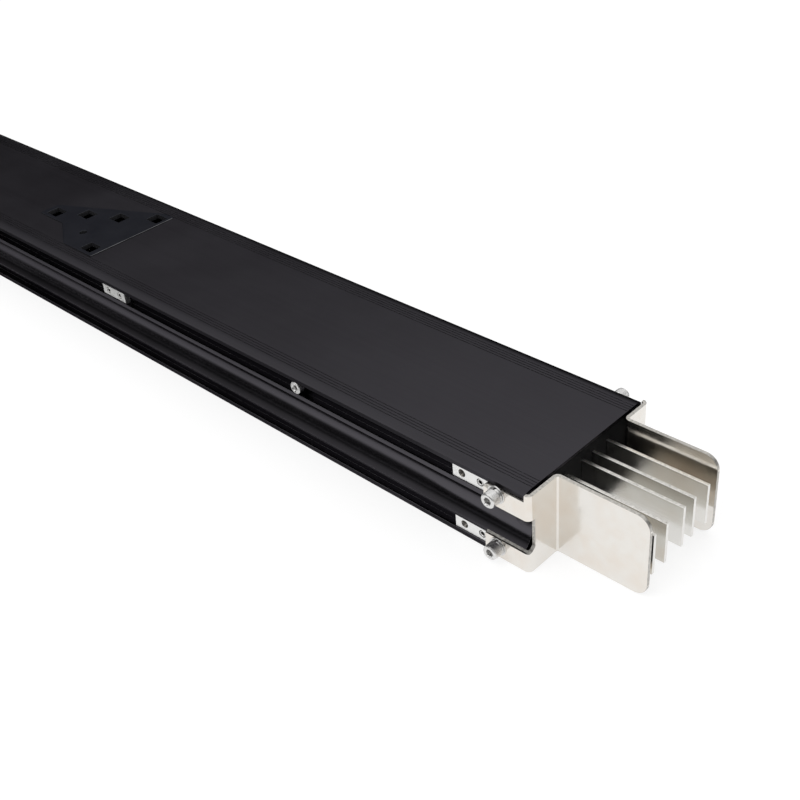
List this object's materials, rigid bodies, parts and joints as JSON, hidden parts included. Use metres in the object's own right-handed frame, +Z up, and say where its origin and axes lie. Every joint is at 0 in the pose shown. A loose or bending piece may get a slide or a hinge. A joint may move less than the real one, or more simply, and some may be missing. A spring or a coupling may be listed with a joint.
{
  "type": "busbar trunking section",
  "caption": "Straight length of enclosed busbar trunking with slotted aluminium sides, bent end plates and flat bars standing out at each end.",
  "frame": {"origin": "middle of the base, half way along and across the trunking", "axes": "+X along the trunking to the front end, +Y across it, +Z up to the cover with the outlets"},
  "size_m": [1.976, 0.1756, 0.0758],
  "materials": {
    "black_aluminium": "satin black anodised",
    "plated_copper": "bright plating, slightly brushed",
    "zinc_plated_steel": "bright zinc",
    "stainless_steel": "satin steel",
    "black_insulator": "moulded, fine texture"
  },
  "bodies": {
    "root": {"top_cover": "black_aluminium", "bottom_cover": "black_aluminium", "left_side_profile": "black_aluminium", "right_side_profile": "black_aluminium", "conductor_bar_1": "plated_copper", "conductor_bar_2": "plated_copper", "conductor_bar_3": "plated_copper", "conductor_bar_4": "plated_copper", "conductor_bar_5": "plated_copper", "bar_supports": "black_insulator", "front_left_end_plate": "plated_copper", "front_left_upper_nut_strip": "zinc_plated_steel", "front_left_lower_nut_strip": "zinc_plated_steel", "front_left_cap_screws": "stainless_steel", "front_left_plain_washers": "stainless_steel", "front_left_spring_washers": "stainless_steel", "front_right_end_plate": "plated_copper", "front_right_upper_nut_strip": "zinc_plated_steel", "front_right_lower_nut_strip": "zinc_plated_steel", "front_right_cap_screws": "stainless_steel", "front_right_plain_washers": "stainless_steel", "front_right_spring_washers": "stainless_steel", "rear_left_end_plate": "plated_copper", "rear_left_upper_nut_strip": "zinc_plated_steel", "rear_left_lower_nut_strip": "zinc_plated_steel", "rear_left_cap_screws": "stainless_steel", "rear_left_plain_washers": "stainless_steel", "rear_left_spring_washers": "stainless_steel", "rear_right_end_plate": "plated_copper", "rear_right_upper_nut_strip": "zinc_plated_steel", "rear_right_lower_nut_strip": "zinc_plated_steel", "rear_right_cap_screws": "stainless_steel", "rear_right_plain_washers": "stainless_steel", "rear_right_spring_washers": "stainless_steel", "short_nut_strips": "zinc_plated_steel", "grub_screws": "stainless_steel", "slot_screw": "stainless_steel", "tap_off_outlet_1": "black_insulator", "tap_off_outlet_2": "black_insulator"}
  },
  "joints": []
}
